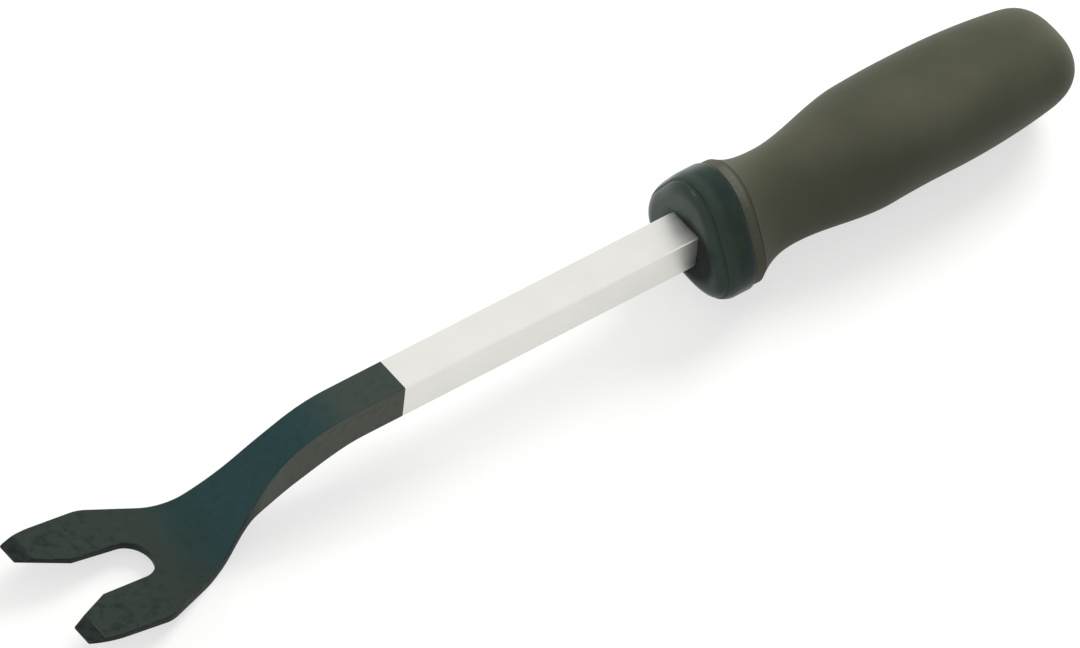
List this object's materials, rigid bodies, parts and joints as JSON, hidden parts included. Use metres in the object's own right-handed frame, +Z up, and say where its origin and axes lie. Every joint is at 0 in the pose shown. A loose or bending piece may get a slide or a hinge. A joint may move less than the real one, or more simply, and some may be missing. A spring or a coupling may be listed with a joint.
{
  "type": "trim removal tool",
  "caption": "Forked trim removal lever: a square steel bar cranked and flattened into a notched fork, set in a moulded handle behind a guard collar.",
  "frame": {"origin": "floor under the middle of the tool's box, with the tool lying at rest on the heel of its fork and the belly of its handle", "axes": "+X along the tool towards the fork's tips, +Y across the fork, +Z up"},
  "size_m": [0.2356, 0.0306, 0.0277],
  "materials": {
    "blade_steel": "satin chrome plating on the bar, black oxide on the forged fork",
    "handle_plastic": "matt moulded dark grey plastic",
    "collar_plastic": "semi-gloss moulded black plastic"
  },
  "bodies": {
    "root": {"blade": "blade_steel", "handle": "handle_plastic", "front_collar": "collar_plastic"}
  },
  "joints": []
}
